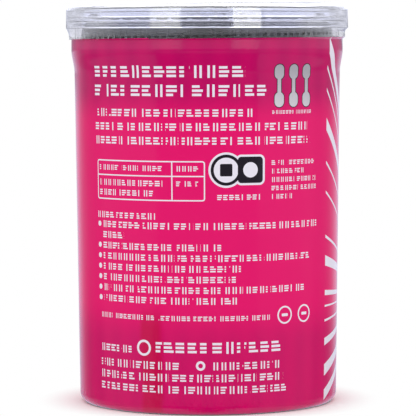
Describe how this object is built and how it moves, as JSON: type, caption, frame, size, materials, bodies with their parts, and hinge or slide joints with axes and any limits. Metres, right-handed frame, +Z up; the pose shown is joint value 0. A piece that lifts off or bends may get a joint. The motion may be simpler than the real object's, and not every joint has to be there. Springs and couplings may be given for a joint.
{
  "type": "cotton swab tub",
  "caption": "Round clear tub of black cotton swabs on paper sticks, with a push-on lid, sealed in a pink printed shrink film with a perforated tear line.",
  "frame": {"origin": "centre of the foot ring's underside, on the surface the tub stands on", "axes": "+Z up along the tub's axis, -Y towards the viewer of the printed notes panel"},
  "size_m": [0.0614, 0.0614, 0.086],
  "materials": {
    "clear_plastic": "clear injection moulded plastic, slightly milky, glossy",
    "clear_film": "clear shrink film, glossy, lightly wrinkled",
    "printed_film": "shrink film printed pink and white on its inner face, glossy",
    "paper": "rolled white paper, matt",
    "black_cotton": "wound black cotton wool, matt and fibrous"
  },
  "bodies": {
    "tub": {"tub": "clear_plastic", "label_sleeve": "printed_film", "sticks_centre": "paper", "sticks_ring_1": "paper", "sticks_ring_2": "paper", "sticks_ring_3": "paper", "sticks_ring_4": "paper", "sticks_ring_5": "paper", "top_tips_centre": "black_cotton", "top_tips_ring_1": "black_cotton", "top_tips_ring_2": "black_cotton", "top_tips_ring_3": "black_cotton", "top_tips_ring_4": "black_cotton", "top_tips_ring_5": "black_cotton", "bottom_tips_centre": "black_cotton", "bottom_tips_ring_1": "black_cotton", "bottom_tips_ring_2": "black_cotton", "bottom_tips_ring_3": "black_cotton", "bottom_tips_ring_4": "black_cotton", "bottom_tips_ring_5": "black_cotton"},
    "lid": {"lid": "clear_plastic", "seal_band": "clear_film"}
  },
  "joints": [
    {"name": "lid_lift", "type": "slide", "parent": "tub", "child": "lid", "axis": [0, 0, 1], "range_m": [0, 0.04]}
  ]
}
